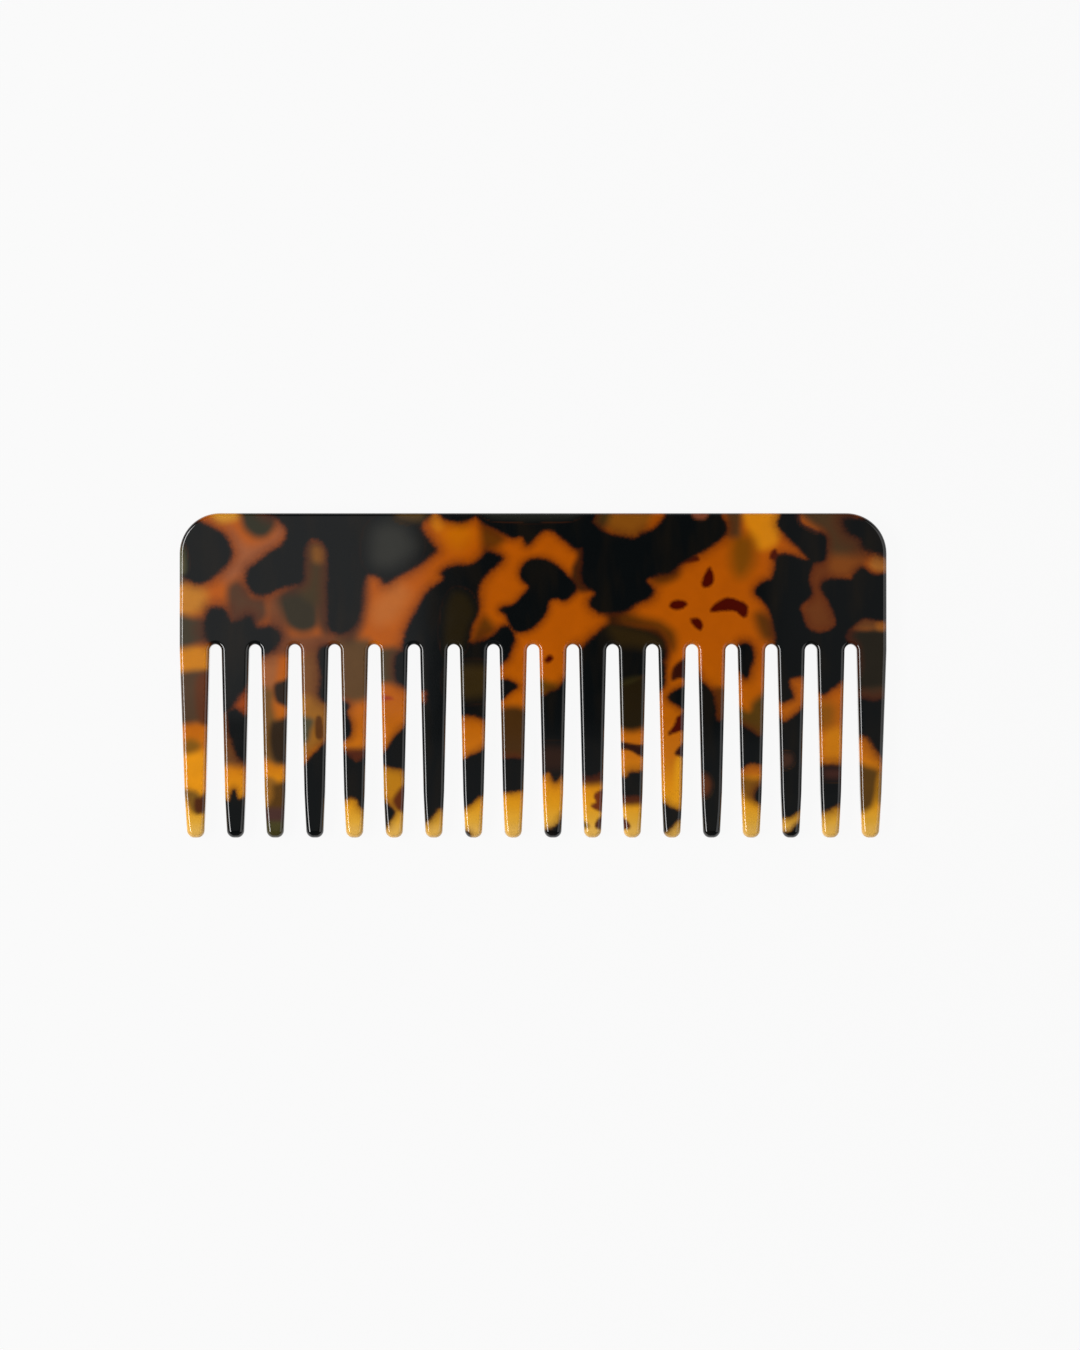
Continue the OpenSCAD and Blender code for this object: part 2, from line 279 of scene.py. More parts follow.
# Deep flakes: colour through the amber above them, softness in mm, outline. They lie at the
# lower face, so there they are dark and sharp.
deep_flakes = {
    "left_edge": ("54543A", 0.7, [(-71, 25.8), (-69.2, 25.4), (-68.6, 22), (-68.6, 18.9), (-71, 18.3)]),
    "top_left": ("2C2A1B", 0.9, [
        (-58, 34), (-57.8, 31), (-57, 28.8), (-55, 27.3), (-52.8, 27.4), (-51.2, 29), (-50.6, 31),
        (-50.6, 34)]),
    "red_brown": ("50331F", 0.9, [
        (-60.6, 17), (-58.6, 18.8), (-56.6, 17.6), (-55.4, 15.8), (-53, 15.2), (-52.4, 12), (-54.6, 10),
        (-57.4, 10.4), (-60, 10.8)]),
    "lobe": ("744020", 1, [
        (-52.5, 15), (-49.5, 15.5), (-48.5, 9), (-46, 8), (-40, 8.5), (-37, 8), (-37, 4), (-50, 4),
        (-52, 8)]),
    "olive_under": ("30291B", 0.9, [
        (-50.4, 16), (-47, 18.2), (-43, 19), (-42.2, 14), (-42.6, 9.8), (-45.4, 8.4), (-48.6, 9.6),
        (-49.9, 12.6)]),
    "stripe": ("44301C", 0.8, [(-43.4, 20), (-40, 20), (-39.8, 9.4), (-41.6, 8.4), (-43, 12)]),
    "shade": ("3E3019", 0.9, [
        (-46.4, 25.6), (-43.6, 26.8), (-40.6, 25.6), (-40.2, 20), (-40.6, 15), (-43, 14), (-46.4, 17)]),
    "shade_core": ("7E4E18", 0.7, [
        (-43.8, 25.2), (-42.6, 25.8), (-41.2, 24.8), (-41.2, 23), (-42, 22.2), (-43.6, 22.8)]),
    "left_root": ("3C3424", 0.9, [
        (-71, 11.7), (-67, 11.6), (-64.6, 11), (-64, 7.4), (-66, 6.2), (-71, 5.6)]),
    "brown_patch": ("603206", 1, [(-10.2, 30), (-6.6, 28.8), (-5.6, 26.6), (-8, 24.8), (-10, 25)]),
    "slant_brown": ("5E3206", 1, [
        (-12.4, 5.4), (-11.6, 9), (-10, 11.6), (-8.4, 11), (-7.4, 8.8), (-9.6, 7)]),
    "bridge": ("2C200E", 0.5, [
        (8.4, 25.6), (8.7, 23.5), (7.8, 21.5), (7.6, 20.2), (7.2, 18.4), (8.6, 16.8), (10.4, 16.6),
        (12, 18), (12, 24), (10, 25.8)]),
    "middle_root": ("231A0B", 0.8, [
        (12, 6), (14, 9.3), (14.6, 10.8), (14.4, 13), (17.8, 13), (18.8, 10.4), (22, 9.8), (25, 9.4),
        (26.8, 6.8), (26.8, 4), (25.4, 0), (23, 0), (23, -9.6), (16.4, -9.8), (14, 4)]),
    "mass_brown": ("5A3006", 1, [
        (23.6, 21), (25.6, 21.4), (28.6, 21.6), (28.6, 19.4), (25.4, 18), (23.4, 18.8)]),
    "brown_stripe": ("7A4406", 1.7, [
        (39.8, 27.6), (42, 28), (43.8, 26.6), (43.8, 23), (42.6, 20.4), (41, 19.4), (39.6, 20.6),
        (39, 24)]),
    "small_brown": ("5C3208", 1.2, [(43.8, 11.6), (45.6, 12.6), (48.2, 10.6), (48.4, 7), (45.4, 7.2)]),
    "right_brown": ("48331C", 1.2, [
        (52.4, 33), (54.6, 30), (57.2, 28), (57.8, 24.4), (61, 23.8), (65, 24.2), (66.4, 26.4), (64, 28.6),
        (62.4, 33)]),
    "right_red": ("6A3614", 1.2, [
        (56.4, 16.6), (53, 14), (53.2, 11), (54.8, 8.4), (60, 9), (60, 12.4), (58.2, 15.6)]),
    "neck": ("6A3412", 0.9, [
        (54.4, 15), (54.2, 19), (55, 22.8), (57.6, 23), (59, 19.6), (57.6, 17.4), (58, 15)]),
    "right_low": ("221D14", 0.6, [
        (60.6, 8), (62, 9.6), (66, 9.3), (71, 9.2), (71, -5), (63, -5), (63.2, 4)]),
    "right_band": ("6E431F", 0.5, [
        (62.6, 10.6), (65, 11.8), (71, 11.8), (71, 9.3), (66, 9.1), (63.6, 9.3)]),
    "right_band_end": ("A86420", 0.5, [(68.2, 11.8), (71, 11.8), (71, 9.5), (68.2, 9.3)]),
    "tooth_1_band": ("4C3622", 0.7, [(-72, -0.2), (-62, 0.2), (-62, -8.4), (-66, -9.3), (-72, -9)]),
    "tooth_1_band_side": ("5A2C10", 0.6, [(-66.6, -0.4), (-63, -0.2), (-63, -8.8), (-66.2, -8.8)]),
    "tooth_1_smudge": ("80540F", 0.7, [
        (-69, -13), (-67.4, -12.6), (-65.8, -13.6), (-66.6, -15), (-69, -15.4)]),
    "tooth_1_olive": ("7A5418", 0.5, [
        (-69.6, -22.6), (-67, -22.8), (-65.6, -24.2), (-66, -27.2), (-67.6, -27), (-68.6, -25)]),
    "tooth_1_spot": ("4E240A", 0.2, [
        (-67, -24.6), (-65.8, -24), (-64.9, -23.4), (-64.9, -26.8), (-66, -27.4), (-66.9, -26.8)]),
    "tooth_2_side": ("6E4722", 0.9, [
        (-63, -6), (-59.6, -6.2), (-59.8, -10), (-58.6, -15), (-55.6, -15.6), (-55.6, -17.6), (-60, -17.8),
        (-63, -17)]),
    "tooth_3_long": ("6E4A1E", 0.8, [
        (-55, -3), (-51.4, -3), (-51.4, -6), (-50.8, -8.4), (-50, -10), (-49.4, -17), (-52, -17.2),
        (-55, -14)]),
    "tooth_3_dark": ("24170C", 0.3, [
        (-51.3, -1.9), (-49.4, -0.9), (-47, -0.4), (-47, -6.2), (-49.6, -5.9), (-51, -4.8)]),
    "tooth_3_core": ("2E2012", 0.5, [
        (-51.9, -9.7), (-50.8, -8.9), (-47, -8.6), (-47, -17), (-50.6, -17.2), (-51.8, -15.4),
        (-52.2, -12.4)]),
    "tooth_3_stripe": ("54360E", 0.6, [
        (-51.3, -21.6), (-48, -21.2), (-48, -26.8), (-52.6, -26.8), (-51.6, -24)]),
    "tooth_3_end": ("4A4420", 0.5, [(-55, -28.4), (-47, -28.4), (-47, -34), (-55, -34)]),
    "tooth_3_red": ("4A2E28", 0.4, [(-55, -26.4), (-47, -26.4), (-47, -28.6), (-55, -28.6)]),
    "tooth_4_root": ("744820", 0.9, [(-47, 3), (-40, 5), (-40, -4), (-44, -4), (-47, -3)]),
    "tooth_4_grey": ("4A4632", 0.5, [
        (-47, -8), (-44.8, -8.2), (-43.4, -9), (-44, -11), (-44.6, -13), (-47, -14)]),
    "tooth_5_root": ("5C3F20", 1, [(-39, 8), (-34.6, 7.4), (-32, 6), (-32, -4), (-39, -4)]),
    "tooth_5_red": ("4C2210", 0.6, [(-39, -14.8), (-32, -14.6), (-32, -18), (-39, -16)]),
    "tooth_6_root": ("463820", 0.8, [(-31.6, 5), (-24, 4.6), (-24, -2), (-28, -1.6), (-31.6, -1)]),
    "tooth_6_side": ("5E2808", 0.3, [
        (-23.6, -20.6), (-26, -22), (-27.7, -24.3), (-27.4, -25.8), (-26.4, -26.9), (-23.6, -27)]),
    "tooth_9_brown": ("452A0D", 0.8, [(-7.6, -7.4), (-1, -7.2), (-1, -18), (-7.6, -18)]),
    "tooth_10_olive": ("5E3E0A", 0.8, [(0.6, -0.8), (3, -1.2), (5.4, -2), (5.6, -4), (0.6, -6.4)]),
    "tooth_11_end": ("3A1E0C", 0.8, [(8.4, -16), (14.4, -16), (14.4, -21), (8.4, -21)]),
    "tooth_11_left": ("7A5814", 0.3, [(8.6, -29), (10.4, -29), (11, -30), (8.6, -30.6)]),
    "tooth_12_end": ("4E2408", 0.6, [(16.4, -22), (22.6, -22), (22.6, -25.2), (16.4, -25.4)]),
    "tooth_14_side": ("5A300C", 0.7, [(35.4, -3), (39, -3.4), (39, -12), (36.4, -11)]),
    "tooth_15_olive": ("54390E", 0.8, [
        (47, -3.4), (45, -4), (43.4, -5.4), (42.6, -7), (40, -6.4), (40, -11.4), (47, -12)]),
    "tooth_15_low": ("7C4E0C", 0.8, [
        (40, -20), (44, -20.4), (47, -20.6), (47, -23), (43.6, -24.6), (41.6, -24)]),
    "tooth_17_olive": ("8A5008", 1.4, [(56, -5.6), (58.6, -5.4), (59.8, -7), (59.2, -9.8), (56, -10.4)]),
    "tooth_18_band": ("3A2A1A", 0.6, [(65, -2.8), (71, -2.4), (71, -5.4), (65, -5)]),
    "tooth_18_olive": ("583A0E", 0.7, [
        (63.4, -17.8), (66, -17.9), (68.4, -18.8), (68.2, -21), (67.8, -24), (66.6, -26.4), (63.4, -26.8)]),
    "tooth_18_side": ("8E6410", 0.6, [(68.6, -19.4), (71, -20), (71, -24.4), (68.2, -25)]),
    "mass_side": ("44301C", 1.2, [
        (-36, 20.6), (-33.4, 20.6), (-33, 16), (-33.8, 10), (-35.4, 7), (-37.4, 8)]),
    "top_amber": ("824A10", 1, [
        (13, 34), (14.2, 29.4), (17, 27.2), (20, 27), (22, 28), (23.4, 31), (23.6, 34)]),
    "top_amber_left": ("3A2E14", 0.9, [(9, 34), (11, 28.6), (13.8, 28.4), (15, 31), (15, 34)]),
    "middle_side": ("502E08", 1.2, [
        (17.2, 13.2), (19.4, 12.4), (22, 11.4), (25.2, 10.6), (28, 8.4), (27.8, 5), (25, 9), (21, 9.4),
        (17.6, 9.8)]),
    "brown_stripe_top": ("50341A", 0.8, [
        (38, 33.5), (41, 33.5), (41.2, 29), (40.6, 27.4), (38.6, 27.6), (38.4, 29.6)]),
    "tooth_4_bar": ("56300F", 0, [(-43, -8.4), (-41.8, -8.4), (-41.6, -12.2), (-43, -12.2)]),
    "tooth_11_bite": ("6E2E0C", 0, [
        (14.4, -22.8), (12.6, -23), (12, -24), (12.4, -25), (11.4, -25.7), (12.4, -26.6), (14.4, -26.9)]),
    "tooth_11_low": ("56220E", 0, [
        (14.2, -28), (12.8, -28.4), (12.2, -29.8), (12.9, -30.4), (14.2, -30.3)]),
    "tooth_12_bar": ("2C1006", 0, [
        (16.6, -13), (18.2, -13.2), (20.4, -13.6), (22.6, -13.9), (22.6, -16.1), (21, -15.9), (19.4, -15),
        (18, -14.7), (16.6, -14.6)]),
    "tooth_12_low": ("5E240C", 0, [(17, -28.2), (18.3, -28.4), (19.3, -29.8), (18.6, -30.5), (17, -30.2)]),
    "tooth_13_top": ("341008", 0.1, [
        (31, 3.5), (29.2, 3), (27.6, 1.4), (27.4, -1), (29, -0.6), (31, -0.3)]),
    "tooth_13_low": ("300A04", 0, [(31, -12.8), (29.2, -13.8), (28, -15.4), (29, -16), (31, -16)]),
}

# Places where a near-black flake is thin and its own colour shows: colour, softness in mm,
# outline.
thin_places = {
    "slant_olive": ("231B0B", 1.3, [
        (-15.6, 16.4), (-13, 15.8), (-11.6, 12.6), (-12.6, 9.8), (-13.6, 6.6), (-14.8, 4.6), (-17, 4.6),
        (-17.6, 8), (-17.2, 13)]),
    "middle_olive": ("2C200D", 1.5, [
        (14.8, 10), (19, 9.6), (23, 8.6), (25.6, 6.8), (25, 5), (20, 5.6), (16.5, 6.2)]),
    "tooth_8_olive": ("33260F", 1.6, [(-16, 1.4), (-8.2, 1.4), (-8.2, -3.6), (-16, -4.2)]),
    "corner_olive": ("4E4C30", 0.9, [(-71, 25.4), (-69.4, 25.2), (-68.8, 23), (-68.9, 20.4), (-71, 20)]),
    "grey": ("2F2F2B", 2.6, [
        (-32, 24), (-31, 22), (-28.4, 21.4), (-25.8, 22.6), (-24, 24.4), (-23.6, 26), (-24.6, 28),
        (-26.4, 29.6), (-29, 30), (-31.4, 28.4)]),
    "top_olive": ("4E3816", 1.3, [
        (-27, 34), (-26.8, 31.6), (-25, 30.8), (-23, 30.6), (-21.6, 31.2), (-21.4, 34)]),
    "band_edge": ("20211D", 0.8, [(-9.6, 34), (-9, 31.4), (-4, 30.8), (2, 30.8), (8, 31.2), (9.6, 34)]),
    "red_top": ("7A4028", 0.5, [(31.5, 32.6), (32, 31.2), (34, 31), (34.6, 32.6)]),
    "rust_top": ("5A2C1C", 0.8, [(52.8, 32.4), (53, 30.4), (55, 29), (56.4, 28.6), (55.6, 31)]),
    "tooth_10_brown": ("2C1A12", 1.6, [(0.6, -14.6), (7, -14.6), (7, -18.4), (0.6, -18.2)]),
    "tooth_12_olive": ("2C2510", 0.8, [(16.4, -1.8), (22.6, -0.6), (22.6, -8), (16.4, -8)]),
    "tooth_14_brown": ("5A2E14", 0.9, [
        (33, -19.8), (34.4, -19.8), (35.2, -21.4), (34.6, -23.4), (33, -23.8)]),
    "tooth_16_brown": ("40261A", 0.8, [
        (49.4, -15.6), (51, -15.6), (51.4, -16.8), (50.8, -17.8), (49.4, -18)]),
    "tooth_17_brown": ("40221A", 1.1, [(58, -18.6), (62, -18.6), (62, -20.2), (58, -20.2)]),
}

# Depth below either face at which the amber is at its palest, mm: painted light shining through
# thin amber at the rounded edges and on the ground tips.
glow_depth = 0.8
# Thickness of a red speck, at the upper face, and of a deep flake, at the lower one, mm.
thin_flake = 1.2
# Softness of a speck's edge, and of a deep flake's at the lower face, mm.
speck_softness = 0.3
bare_softness = 0.35
# What each mm of amber between a near-black flake's end and the surface adds to its softness
# in mm, and how many softnesses it takes off all round.
cover_blur = 0.5
cover_shrink = 0.3
# Distances are cut off here, in softnesses: beyond them the amber is clear.
flake_limit = 9.0
speck_limit = 4.0


def soft_mask(xy, outline, softness):
    """1 well inside the rounded outline, 0 well outside it and a smooth step between them."""
    step = np.clip(0.5 - 0.5 * signed_distance(xy, outline) / softness, 0, 1)
    return step * step * (3 - 2 * step)


def blend(below, above, mask):
    """below where the mask is 0 and above where it is 1, for colours or single values."""
    mask = mask.reshape(mask.shape + (1,) * (below.ndim - mask.ndim))
    return below * (1 - mask) + above * mask


def amber(xy, depth):
    """Colour of the clear amber, with painted light in it: reddish orange in the back, yellower down
    the teeth, a painted glow of the light that gets in from both sides, and paler wherever there
    is little of it to look through, which is at the rounded edges and on the ground tips: painted
    light shining through the thin amber."""
    # yellower towards the tips: a painted glow of light getting into each tooth from both sides
    tones = {-31.5: "DCB45A", -29: "DCA42A", -26: "DE970E", -22: "D88809", -16: "C26C07",
             -10: "BA6206", -4: "B45A04", 6: "B45604", 40: "B05204"}
    codes = np.array([linear(code) for code in tones.values()])
    colour = np.stack([np.interp(xy[:, 1], list(tones), codes[:, k]) for k in range(3)], axis=1)
    for code, softness, outline in amber_tones.values():
        colour = blend(colour, linear(code), soft_mask(xy, outline, softness))
    # painted light: paler where there is little amber to look through, at the rims and ground tips
    painted_glow = np.clip(np.minimum(depth, sheet - depth) / glow_depth, 0, 1)
    return blend(colour, linear("EEAE50"), 0.4 * painted_glow)


def marble(mesh):
    """Writes the marbling on the mesh's vertices. sheet_colour is the amber, with every deep
    flake blended in by how far below the vertex it starts. flake and speck are distances to
    the nearest edge divided by its softness, and what ends above the vertex is smaller there,
    a flake softer too. thin is how much of sheet_colour a near-black flake lets through."""
    count = len(mesh.vertices)
    places = np.empty(count * 3)
    mesh.vertices.foreach_get("co", places)
    places = places.reshape(-1, 3) / MM
    xy, depth = places[:, :2], sheet - places[:, 2]
    flake = np.full(count, flake_limit)
    for softness, reach, outline in dark_flakes.values():
        cover = np.clip(depth - reach, 0, None)
        edge = signed_distance(xy, outline) / (softness + cover_blur * cover) + cover_shrink * cover
        flake = np.minimum(flake, edge)
    speck = np.full(count, speck_limit)
    cover = np.clip(depth - thin_flake, 0, None)
    for outline in red_specks.values():
        speck = np.minimum(speck, (signed_distance(xy, outline) + cover) / speck_softness)
    colour = amber(xy, depth)
    share = np.clip((sheet - thin_flake - depth) / (sheet - thin_flake), 0, None)
    bare_flake = np.tile(linear("14110D"), (count, 1))
    for code, softness, outline in deep_flakes.values():
        under = blend(bare_flake, linear(code), share)
        colour = blend(colour, under, soft_mask(xy, outline, bare_softness + softness * share))
    # sheet_colour changes wherever the place begins, but only under a near-black flake
    thin = np.zeros(count)
    under_flake = np.clip(1 - flake, 0, 1)
    for code, softness, outline in thin_places.values():
        mask = soft_mask(xy, outline, softness)
        thin = np.maximum(thin, mask)
        colour = blend(colour, linear(code), np.clip(30 * mask, 0, 1) * under_flake)
    for name, values in (("flake", flake), ("speck", speck), ("thin", thin)):
        mesh.attributes.new(name, "FLOAT", "POINT").data.foreach_set("value", values)
    rgba = np.concatenate([colour, np.ones((count, 1))], axis=1)
    mesh.attributes.new("sheet_colour", "FLOAT_COLOR", "POINT").data.foreach_set("color", rgba.ravel())


# ---------------------------------------------------------------------------
# The polish
# After cutting, the comb is tumbled and buffed until it shines like glass. Flakes keep a
# slightly ragged edge with a red-brown rim, and buffing leaves faint waves in the surface.
# ---------------------------------------------------------------------------
def marbling_group():
    """Node group: amber and deep flakes from sheet_colour, then specks and near-black flakes
    laid over it by their distances, roughened by noise, and sheet_colour again over those
    where a flake is thin."""
    group = bpy.data.node_groups.new("marbling", "ShaderNodeTree")
    for name, value in (("Raggedness", 1.3), ("Cloudiness", 0.12)):
        socket = group.interface.new_socket(name, in_out="INPUT", socket_type="NodeSocketFloat")
        socket.default_value = value
    group.interface.new_socket("Colour", in_out="OUTPUT", socket_type="NodeSocketColor")
    group.interface.new_socket("Roughness", in_out="OUTPUT", socket_type="NodeSocketFloat")
    group.interface.new_socket("Height", in_out="OUTPUT", socket_type="NodeSocketFloat")
    add, link = group.nodes.new, group.links.new
    given, made = add("NodeGroupInput"), add("NodeGroupOutput")
    place = add("ShaderNodeTexCoord")

    def attribute(name):
        """What the marbling wrote on the mesh under this name."""
        node = add("ShaderNodeAttribute")
        node.attribute_name = name
        return node

    def noise(scale, detail, drawn=1.0):
        """Noise from 0 to 1 in the object's own metres, drawn out so many times along the teeth."""
        stretch = add("ShaderNodeMapping")
        stretch.inputs["Scale"].default_value = (1, 1 / drawn, 1)
        node = add("ShaderNodeTexNoise")
        node.inputs["Scale"].default_value = scale
        node.inputs["Detail"].default_value = detail
        link(place.outputs["Object"], stretch.inputs["Vector"])
        link(stretch.outputs["Vector"], node.inputs["Vector"])
        return node.outputs["Fac"]

    def math_node(kind, first, second, clamp=False):
        """The result of a sum on two numbers or outputs, kept within 0 and 1 if clamped."""
        node = add("ShaderNodeMath")
        node.operation, node.use_clamp = kind, clamp
        for socket, value in zip(node.inputs, (first, second)):
            if isinstance(value, (int, float)):
                socket.default_value = value
            else:
                link(value, socket)
        return node.outputs[0]

    def ramp(value, stops):
        """The grey at the value, on straight lines between stops of position and grey."""
        node = add("ShaderNodeValToRGB")
        elements = node.color_ramp.elements
        while len(elements) < len(stops):
            elements.new(0.5)
        for element, (position, grey) in zip(elements, stops):
            element.position = position
            element.color = (grey, grey, grey, 1)
        link(value, node.inputs["Fac"])
        return node.outputs["Color"]

    def over(mask, below, above):
        """The colour below where the mask is 0 and the colour above where it is 1."""
        node = add("ShaderNodeMix")
        node.data_type = "RGBA"
        link(mask, node.inputs["Factor"])
        for name, value in (("A", below), ("B", above)):
            socket = [s for s in node.inputs if s.name == name and s.type == "RGBA"][0]
            if isinstance(value, tuple):
                socket.default_value = value
            else:
                link(value, socket)
        return [s for s in node.outputs if s.type == "RGBA"][0]

    uneven = math_node("ADD", noise(420, 2), noise(1500, 2))
    ragged = math_node("MULTIPLY", math_node("SUBTRACT", uneven, 1.0), given.outputs["Raggedness"])
    cloud = math_node("MULTIPLY", math_node("SUBTRACT", noise(260, 2), 0.5), given.outputs["Cloudiness"])
    tone = add("ShaderNodeHueSaturation")
    link(attribute("sheet_colour").outputs["Color"], tone.inputs["Color"])
    link(math_node("ADD", math_node("MULTIPLY", cloud, 2.0), 1.0), tone.inputs["Value"])

    # near_flake is 0 one softness inside a flake and 1 six softnesses outside it: the black
    # fades out first, and the amber turns from rust to clear on the way; near_speck is 0 one
    # softness inside a speck and 1 two softnesses outside it, where the red is gone
    near_flake = math_node("ADD", attribute("flake").outputs["Fac"], ragged)
    near_flake = math_node("MULTIPLY", math_node("ADD", near_flake, 1.0), 1 / 7, clamp=True)
    near_speck = math_node("ADD", attribute("speck").outputs["Fac"], ragged)
    near_speck = math_node("MULTIPLY", math_node("ADD", near_speck, 1.0), 1 / 3, clamp=True)
    codes = ("0A0D0E", "15120E", "480A02", "6A2604")
    blue_black, brown_black, red, rust = (tuple(linear(code)) + (1,) for code in codes)
    black = over(ramp(noise(240, 2, drawn=4), ((0.45, 0), (0.7, 1))), blue_black, brown_black)
    rim = ramp(near_flake, ((0, 0.9), (0.14, 0.75), (0.21, 0.58), (0.29, 0.44), (0.43, 0.3), (0.64, 0.15),
                            (0.8, 0.06), (1, 0)))
    shade = ramp(near_flake, ((0, 1), (0.07, 0.98), (0.14, 0.86), (0.21, 0.66), (0.29, 0.44), (0.43, 0.18),
                              (0.64, 0.07), (0.8, 0.02), (1, 0)))
    colour = over(ramp(near_speck, ((0.1, 1), (0.33, 0.75), (0.9, 0))), tone.outputs["Color"], red)
    colour = over(shade, over(rim, colour, rust), black)
    colour = over(attribute("thin").outputs["Fac"], colour, tone.outputs["Color"])
    link(colour, made.inputs["Colour"])
    rough = math_node("ADD", math_node("MULTIPLY", noise(300, 1), 0.04), 0.06)
    link(rough, made.inputs["Roughness"])
    link(noise(120, 2), made.inputs["Height"])
    return group


marbling = marbling_group()


def acetate(name, raggedness, cloudiness, waves):
    """Polished acetate: the marbling under a clear glossy coat, with faint buffing waves."""
    material = bpy.data.materials.new(name)
    material.use_nodes = True
    nodes, link = material.node_tree.nodes, material.node_tree.links.new
    shader = nodes["Principled BSDF"]
    pattern = nodes.new("ShaderNodeGroup")
    pattern.node_tree = marbling
    pattern.inputs["Raggedness"].default_value = raggedness
    pattern.inputs["Cloudiness"].default_value = cloudiness
    bump = nodes.new("ShaderNodeBump")
    bump.inputs["Strength"].default_value = waves
    bump.inputs["Distance"].default_value = 0.05 * MM
    link(pattern.outputs["Colour"], shader.inputs["Base Color"])
    link(pattern.outputs["Roughness"], shader.inputs["Roughness"])
    link(pattern.outputs["Height"], bump.inputs["Height"])
    link(bump.outputs["Normal"], shader.inputs["Normal"])
    shader.inputs["IOR"].default_value = 1.49
    shader.inputs["Coat Weight"].default_value = 0.4
    shader.inputs["Coat Roughness"].default_value = 0.04
    return material


# ---------------------------------------------------------------------------
# The back
# The solid strip that the teeth stand on, sawn with two round corners. Its edges and the
# round tops of the gaps are rounded over by hand and by tumbling.
# ---------------------------------------------------------------------------
tooth_names = sorted(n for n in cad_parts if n.startswith("tooth_"))
tooth_boxes = [[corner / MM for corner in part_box(n)] for n in tooth_names]
back_low, back_high = [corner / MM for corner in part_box("back")]
root_y = back_low.y
end_x, back_edge = back_high.x, back_high.y
corner_radius = 8.0
edge_round = 0.8
gap_centres = [(left[1].x + right[0].x) / 2 for left, right in zip(tooth_boxes, tooth_boxes[1:])]
gap_radius = (tooth_boxes[1][0].x - tooth_boxes[0][1].x) / 2
flare = gap_radius + edge_round
flat_turn = corner_radius - edge_round
arc = np.radians(np.linspace(0, 90, 8))
column_step = 0.45
least_step = 0.15
slack = 0.001
merge_distance = 0.002


def closed_piece(name, places, faces, material):
    """A mesh object from places in mm. Places that coincide become one vertex, so that the
    skin is closed, and its faces are turned to point outwards."""
    mesh = bpy.data.meshes.new(name)
    mesh.from_pydata((places * MM).tolist(), [], faces)
    skin = bmesh.new()
    skin.from_mesh(mesh)
    bmesh.ops.remove_doubles(skin, verts=skin.verts, dist=merge_distance * MM)
    bmesh.ops.recalc_face_normals(skin, faces=skin.faces)

    # the grids' four-sided faces are shaded smooth, and the flat ends have sharp edges
    for face in skin.faces:
        face.smooth = len(face.verts) == 4
    for edge in skin.edges:
        edge.smooth = all(f.smooth for f in edge.link_faces)
    skin.to_mesh(mesh)
    skin.free()
    marble(mesh)
    mesh.materials.append(material)
    piece = bpy.data.objects.new(name, mesh)
    bpy.context.collection.objects.link(piece)
    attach(piece, "root")
    return piece


def grid_faces(rows, columns, first=0, ring=False):
    """Quads between neighbouring places of a grid stored row by row, from place number first.
    On a ring the last column joins the first one."""
    spans = columns if ring else columns - 1
    row, left = np.meshgrid(np.arange(rows - 1), np.arange(spans), indexing="ij")
    row, left = row.ravel() * columns, left.ravel()
    right = (left + 1) % columns
    below = row + columns
    quads = np.stack([row + left, row + right, below + right, below + left], axis=1)
    return (quads + first).tolist()


def column_places():
    """Places of the grid's columns along the back: closer where the outline turns upright at
    the corners and at both sides of every gap, and at even steps wherever there is room."""
    corner = end_x - corner_radius + flat_turn * np.sin(np.radians(np.linspace(0, 90, 15)))
    fixed = [corner, -corner]
    fixed += [centre + flare * np.sin(np.radians(np.linspace(-90, 90, 19))) for centre in gap_centres]
    fixed = np.unique(np.round(np.concatenate(fixed), 4))
    even = np.arange(-end_x + 1, end_x - 1, column_step)
    even = even[np.abs(even[:, None] - fixed).min(1) > least_step]
    return np.sort(np.concatenate([fixed, even]))


def back_grid():
    """The flat face as a grid. Columns run along the comb, and each column's rows run from
    its lowest place, on the root plane or on the arc of a gap, up to the straight back edge
    or the arc of a corner. A last narrow row at each end keeps the shading of the flat."""
    x = column_places()
    low = np.full(len(x), root_y)
    for centre in gap_centres:
        low = np.maximum(low, root_y + np.sqrt(np.clip(flare ** 2 - (x - centre) ** 2, 0, None)))
    past = np.clip(np.abs(x) - (end_x - corner_radius), 0, flat_turn)
    high = back_edge - corner_radius + np.sqrt(flat_turn ** 2 - past ** 2)
    share = np.concatenate([[0, 0.002], np.linspace(0, 1, 63)[1:-1], [0.998, 1]])
    y = low + share[:, None] * (high - low)
    return np.broadcast_to(x, y.shape), y


def rounded_rim(path, outward):
    """Edge of the sheet along a path: from the upper face a quarter round, a flat wall and a
    quarter round to the lower face, pushed out along the outward direction."""
    out = edge_round * np.concatenate([np.sin(arc), np.ones(3), np.sin(arc[::-1])])
    wall = np.linspace(sheet - edge_round, edge_round, 5)[1:-1]
    z = np.concatenate([sheet - edge_round * (1 - np.cos(arc)), wall, edge_round * (1 - np.cos(arc[::-1]))])
    rim = np.empty((len(path), len(z), 3))
    rim[..., :2] = path[:, None, :] + outward[:, None, :] * out[:, None]
    rim[..., 2] = z
    return rim


